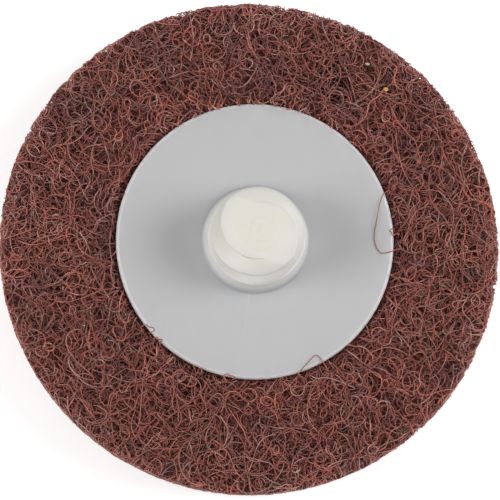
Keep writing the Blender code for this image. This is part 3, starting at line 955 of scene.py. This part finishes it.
# Radius of the thread's surface: the crest's taper less the depth of the section there
def threadRadius(angle, height):
    foot = flangeBottom + flange["thickness"] + collar["height"]
    share = np.clip((tipHeight - height) / (tipHeight - foot), 0, 1)
    crest = thread["crestTip"] + (thread["crestBase"] - thread["crestTip"]) * share
    pitch = thread["lead"] / thread["starts"]
    turned = (angle - math.radians(thread["tipAngle"])) / (2 * math.pi) * thread["lead"]
    heights = np.array([h * mm for h, inset in thread["tooth"]])
    insets = np.array([inset * mm for h, inset in thread["tooth"]])
    offset = (height - tipHeight - turned - heights[0]) % pitch + heights[0]
    return crest - np.interp(offset, heights, insets)


def makeButton():
    piece = turnProfile("moulded_button", buttonProfile(), flange["steps"])
    points = readPoints(piece)
    shoulder = flangeBottom + flange["thickness"] + collar["height"]
    draw = thread["drawRadius"]
    radius = np.hypot(points[:, 0], points[:, 1])
    angle = np.arctan2(points[:, 1], points[:, 0])
    climb = np.maximum(points[:, 2] - shoulder, 0)
    angle = angle + climb / thread["lead"] * 2 * math.pi
    onStub = (points[:, 2] >= shoulder - 0.001 * mm) & (radius < draw + 0.2 * mm)
    section = threadRadius(angle, points[:, 2])
    edge = section + (radius - draw)
    brim = collar["radius"] - collar["taper"] - collar["round"] - 0.02 * mm
    edge = np.where(climb < 0.06 * mm, np.minimum(edge, brim), edge)
    flat = section * radius / draw
    inner = np.where(radius > thread["stillRadius"], flat, radius)
    drawn = np.where(radius > thread["wholeRadius"], edge, inner)
    radius = np.where(onStub, drawn, radius)
    points[:, 0] = buttonAxis.x + radius * np.cos(angle)
    points[:, 1] = buttonAxis.y + radius * np.sin(angle)
    writePoints(piece, points)
    pick(piece)
    bpy.ops.object.shade_smooth_by_angle(angle=math.radians(flange["smoothAngle"]))
    return piece


# Specks of grit and lint caught in the web; the two smallest are grit painted pale for glints, painted
# highlights on real grains

specks = {
    "places": [
        (-23.9, -4.2, 7.1), (4.6, 21.8, 7.35), (7.3, 20.0, 7.35), (-12.7, -13.9, 7.2), (-12.2, -18.4, 7.2),
    ],
    "sizes": [0.46, 0.5, 0.66, 0.22, 0.28],
    "raggedness": 0.16,  # share of their size
    "squash": (1.0, 0.7, 0.5),
    "grainScale": 6000,
    "grainHeight": 0.05 * mm,
    # the last two tints: painted highlights, pale grit standing for glints
    "tints": [(0.42, 0.43, 0.42), (0.58, 0.48, 0.33), (0.6, 0.36, 0.14), (0.6, 0.6, 0.6), (0.6, 0.6, 0.62)],
}


def makeSpecks():
    made = []
    for place, size in zip(specks["places"], specks["sizes"]):
        clearSelection()
        bpy.ops.mesh.primitive_ico_sphere_add(
            subdivisions=1, radius=size * mm / 2, location=[value * mm for value in place]
        )
        speck = bpy.context.object
        bpy.ops.object.mode_set(mode="EDIT")
        bpy.ops.mesh.select_all(action="SELECT")
        bpy.ops.transform.vertex_random(offset=size * mm * specks["raggedness"], seed=len(made))
        bpy.ops.transform.resize(value=specks["squash"])
        bpy.ops.object.mode_set(mode="OBJECT")
        made.append(speck)
    tints = np.repeat(np.array(specks["tints"]), [len(speck.data.vertices) for speck in made], axis=0)
    pick(made[0])
    for speck in made:
        speck.select_set(True)
    bpy.ops.object.join()
    bpy.ops.object.transform_apply(location=True, rotation=True, scale=True)
    piece = bpy.context.object
    piece.name = "caught_specks"
    piece.data.shade_flat()
    colours = np.ones((len(tints), 4), np.float32)
    colours[:, :3] = tints
    layer = piece.data.color_attributes.new("fibreTint", "FLOAT_COLOR", "POINT")
    layer.data.foreach_set("color", colours.ravel())
    return piece


# Materials, all on object coordinates

def objectNoise(tree, scale, detail=2.0):
    place = addNode(tree, "TexCoord")
    pattern = addNode(tree, "TexNoise", Scale=scale, Detail=detail)
    tree.links.new(place.outputs["Object"], pattern.inputs["Vector"])
    return pattern


def addBump(tree, shader, height, strength, distance):
    bump = addNode(tree, "Bump", Strength=strength, Distance=distance)
    tree.links.new(height, bump.inputs["Height"])
    tree.links.new(bump.outputs["Normal"], shader.inputs["Normal"])
    return bump


coating = {
    "mottleScale": 4200,
    "mottleLevel": (0.72, 1.25),
    "roughness": (0.36, 0.6),
    "gritScale": 11000,
    "gritHeight": 0.02 * mm,
    "gritStrength": 0.35,
    "sheen": 0.12,
}


# Nylon fibre coated with resin and fine grit: each fibre's own tint, mottled along its length
def fibreMaterial():
    material, tree, shader = newMaterial("coatedFibre")
    tint = addNode(tree, "Attribute", {"attribute_name": "fibreTint"})
    mottle = objectNoise(tree, coating["mottleScale"], 3.0)
    dark, light = coating["mottleLevel"]
    level = addNode(tree, "MapRange", From_Min=0.3, From_Max=0.7, To_Min=dark, To_Max=light)
    tree.links.new(mottle.outputs["Fac"], level.inputs["Value"])
    mix = addNode(tree, "VectorMath", {"operation": "SCALE"})
    tree.links.new(tint.outputs["Color"], mix.inputs[0])
    tree.links.new(level.outputs[0], mix.inputs["Scale"])
    tree.links.new(mix.outputs[0], shader.inputs["Base Color"])
    smooth, dull = coating["roughness"]
    rough = addNode(tree, "MapRange", From_Min=0.3, From_Max=0.7, To_Min=smooth, To_Max=dull)
    tree.links.new(mottle.outputs["Fac"], rough.inputs["Value"])
    tree.links.new(rough.outputs[0], shader.inputs["Roughness"])
    grit = objectNoise(tree, coating["gritScale"], 1.0)
    addBump(tree, shader, grit.outputs["Fac"], coating["gritStrength"], coating["gritHeight"])
    shader.inputs["Sheen Weight"].default_value = coating["sheen"]
    return material


# painted shade: the core's tints are darker than the fibres', standing for the shade between them
def coreMaterial():
    material, tree, shader = newMaterial("shadedMat")
    strands = objectNoise(tree, core["strandScale"], 4.0)
    ramp = addNode(tree, "ValToRGB")
    tree.links.new(strands.outputs["Fac"], ramp.inputs["Fac"])
    ramp.color_ramp.elements[0].position = 0.35
    ramp.color_ramp.elements[0].color = (*core["darkTint"], 1)
    ramp.color_ramp.elements[1].position = 0.68
    ramp.color_ramp.elements[1].color = (*core["lightTint"], 1)
    tree.links.new(ramp.outputs["Color"], shader.inputs["Base Color"])
    shader.inputs["Roughness"].default_value = 0.75
    addBump(tree, shader, strands.outputs["Fac"], 0.8, core["strandHeight"])
    return material


def scrimMaterial():
    material, tree, shader = newMaterial("scrimYarn")
    threads = objectNoise(tree, weave["threadScale"], 2.0)
    ramp = addNode(tree, "ValToRGB")
    tree.links.new(threads.outputs["Fac"], ramp.inputs["Fac"])
    ramp.color_ramp.elements[0].position = 0.3
    ramp.color_ramp.elements[0].color = (*weave["darkTint"], 1)
    ramp.color_ramp.elements[1].position = 0.7
    ramp.color_ramp.elements[1].color = (*weave["lightTint"], 1)
    tree.links.new(ramp.outputs["Color"], shader.inputs["Base Color"])
    shader.inputs["Roughness"].default_value = 0.7
    addBump(tree, shader, threads.outputs["Fac"], 0.5, weave["threadHeight"])
    return material


plastic = {
    "flangeTint": (0.595, 0.595, 0.60),
    "collarTint": (0.81, 0.815, 0.805),
    "stubTint": (0.815, 0.79, 0.73),
    # the seam's pale tint, also the colour of the painted highlight on the flange's edge
    "seamAndHighlightTint": (0.84, 0.835, 0.82),
    "roughness": 0.42,
    "seamAngle": 104,  # degrees, the mould's parting line across the button
    "seamWidth": 0.08 * mm,
    "seamReach": [(-11.0, 0.0), (-5.6, 0.25), (-4.2, 0.5), (4.0, 0.5), (5.9, 0.35), (6.4, 0.0)],
    "seamHeight": 0.03 * mm,
    "moltenScale": 500,  # soft unevenness of the moulded surface
    "moltenShare": 0.35,
    "clearness": 0.9,
    "clearDistance": 3.0 * mm,
    "paleSides": (0.4, 0.25 * mm, 3.4 * mm),  # the collar tint's share, lowest and highest over the flange
    "paintedEdgeBand": (0.38 * mm, 0.2 * mm),
    "paintedEdgeHighlight": 1.0,  # painted highlight: the flange's rounded edge painted paler, for the light it catches and lets through
}


# Milky plastic, greyer where the thin flange lets the dark web show through and towards the collar's foot,
# with a painted highlight along the flange's rounded edge
def buttonMaterial():
    material, tree, shader = newMaterial("milkyPlastic")
    place = addNode(tree, "TexCoord")
    axes = addNode(tree, "SeparateXYZ")
    tree.links.new(place.outputs["Object"], axes.inputs[0])
    top = flangeBottom + flange["thickness"]
    middle, low, high = plastic["paleSides"]
    # by height: the flange's grey tint, turning to the collar's tint and then the stub's tint up the collar
    depth = addNode(tree, "MapRange", From_Min=top + low, From_Max=top + high)
    tree.links.new(axes.outputs["Z"], depth.inputs["Value"])
    ramp = addNode(tree, "ValToRGB")
    tree.links.new(depth.outputs[0], ramp.inputs["Fac"])
    ramp.color_ramp.elements[0].color = (*plastic["flangeTint"], 1)
    ramp.color_ramp.elements[1].color = (*plastic["stubTint"], 1)
    ramp.color_ramp.elements.new(middle).color = (*plastic["collarTint"], 1)
    level = addNode(tree, "VectorMath", {"operation": "MULTIPLY"})
    level.inputs[1].default_value = (1, 1, 0)
    tree.links.new(place.outputs["Object"], level.inputs[0])
    reach = addNode(tree, "VectorMath", {"operation": "DISTANCE"})
    reach.inputs[1].default_value = (buttonAxis.x, buttonAxis.y, 0)
    tree.links.new(level.outputs["Vector"], reach.inputs[0])
    # painted highlight: a band at the flange's rounded edge, mixed toward the pale seam tint
    inside, outside = plastic["paintedEdgeBand"]
    paintedRimHighlight = addNode(
        tree, "MapRange", From_Min=flangeRadius - inside, From_Max=flangeRadius - outside,
        To_Max=plastic["paintedEdgeHighlight"],
    )
    tree.links.new(reach.outputs["Value"], paintedRimHighlight.inputs["Value"])
    turn = math.radians(plastic["seamAngle"])
    across = addNode(tree, "VectorMath", {"operation": "DOT_PRODUCT"})
    across.inputs[1].default_value = (-math.sin(turn), math.cos(turn), 0)
    tree.links.new(place.outputs["Object"], across.inputs[0])
    offset = -buttonAxis.x * math.sin(turn) + buttonAxis.y * math.cos(turn)
    away = addNode(tree, "Math", {"operation": "SUBTRACT"})
    away.inputs[1].default_value = offset
    tree.links.new(across.outputs["Value"], away.inputs[0])
    width = addNode(tree, "Math", {"operation": "ABSOLUTE"})
    tree.links.new(away.outputs[0], width.inputs[0])
    seam = addNode(
        tree, "MapRange", {"interpolation_type": "SMOOTHSTEP"},
        From_Min=plastic["seamWidth"], From_Max=0.0, To_Min=0.0, To_Max=1.0,
    )
    tree.links.new(width.outputs[0], seam.inputs["Value"])
    below = addNode(tree, "MapRange", From_Min=tipHeight - 0.1 * mm, From_Max=tipHeight - 0.3 * mm)
    tree.links.new(axes.outputs["Z"], below.inputs["Value"])
    onSide = addNode(tree, "Math", {"operation": "MULTIPLY"})
    tree.links.new(seam.outputs[0], onSide.inputs[0])
    tree.links.new(below.outputs[0], onSide.inputs[1])
    along = addNode(tree, "VectorMath", {"operation": "DOT_PRODUCT"})
    along.inputs[1].default_value = (math.cos(turn), math.sin(turn), 0)
    tree.links.new(place.outputs["Object"], along.inputs[0])
    ends = plastic["seamReach"][0][0] * mm, plastic["seamReach"][-1][0] * mm
    along01 = addNode(tree, "MapRange", From_Min=ends[0], From_Max=ends[1])
    tree.links.new(along.outputs["Value"], along01.inputs["Value"])
    fade = addNode(tree, "ValToRGB")
    tree.links.new(along01.outputs[0], fade.inputs["Fac"])
    stops = fade.color_ramp.elements
    while len(stops) < len(plastic["seamReach"]):
        stops.new(0.5)
    for stop, (at, level) in zip(stops, plastic["seamReach"]):
        stop.position = (at * mm - ends[0]) / (ends[1] - ends[0])
        stop.color = (level, level, level, 1)
    line = addNode(tree, "Math", {"operation": "MULTIPLY"})
    tree.links.new(onSide.outputs[0], line.inputs[0])
    tree.links.new(fade.outputs["Color"], line.inputs[1])
    pale = addNode(tree, "Math", {"operation": "MAXIMUM"})
    tree.links.new(line.outputs[0], pale.inputs[0])
    tree.links.new(paintedRimHighlight.outputs[0], pale.inputs[1])
    mix = addNode(tree, "Mix", {"data_type": "RGBA"})
    tree.links.new(pale.outputs[0], mix.inputs["Factor"])
    colours = [socket for socket in mix.inputs if socket.type == "RGBA"]
    colours[1].default_value = (*plastic["seamAndHighlightTint"], 1)
    tree.links.new(ramp.outputs["Color"], colours[0])
    mixed = [socket for socket in mix.outputs if socket.type == "RGBA"][0]
    tree.links.new(mixed, shader.inputs["Base Color"])
    soft = objectNoise(tree, plastic["moltenScale"], 2.0)
    total = addNode(tree, "Math", {"operation": "MULTIPLY_ADD"})
    total.inputs[1].default_value = plastic["moltenShare"]
    tree.links.new(soft.outputs["Fac"], total.inputs[0])
    tree.links.new(line.outputs[0], total.inputs[2])
    addBump(tree, shader, total.outputs[0], 0.6, plastic["seamHeight"])
    shader.inputs["Roughness"].default_value = plastic["roughness"]
    shader.inputs["Subsurface Weight"].default_value = plastic["clearness"]
    shader.inputs["Subsurface Radius"].default_value = (1.0, 0.95, 0.85)
    shader.inputs["Subsurface Scale"].default_value = plastic["clearDistance"]
    return material


def speckMaterial():
    material, tree, shader = newMaterial("caughtGrit")
    tint = addNode(tree, "Attribute", {"attribute_name": "fibreTint"})
    tree.links.new(tint.outputs["Color"], shader.inputs["Base Color"])
    grain = objectNoise(tree, specks["grainScale"], 2.0)
    addBump(tree, shader, grain.outputs["Fac"], 0.6, specks["grainHeight"])
    shader.inputs["Roughness"].default_value = 0.6
    return material


# Build every piece

coated = fibreMaterial()
finishPiece(makeCore(), coreMaterial(), "web_nylon", "abrasive_web")
for name, count, low, high, widths in back["pieces"]:
    finishPiece(sweepFibres(name, *backPaths(count, low, high, widths)), coated, "web_nylon")
finishPiece(sweepFibres("rim_fibres", *rimPaths()), coated, "web_nylon")
finishPiece(sweepFibres("work_face_fibres", *workFacePaths()), coated, "web_nylon")
finishPiece(sweepFibres("stray_fibres", *strayPaths()), coated, "web_nylon")
print("web built")

scrimCloth, scrimRadius = makeScrim()
finishPiece(scrimCloth, scrimMaterial(), "scrim_cloth", "scrim")
print("scrim laid")

finishPiece(makeButton(), buttonMaterial(), "button_nylon", "drive_button")
finishPiece(makeSpecks(), speckMaterial(), None)
print("button moulded")

bpy.data.objects.remove(fibreSection, do_unlink=True)
clearSelection()
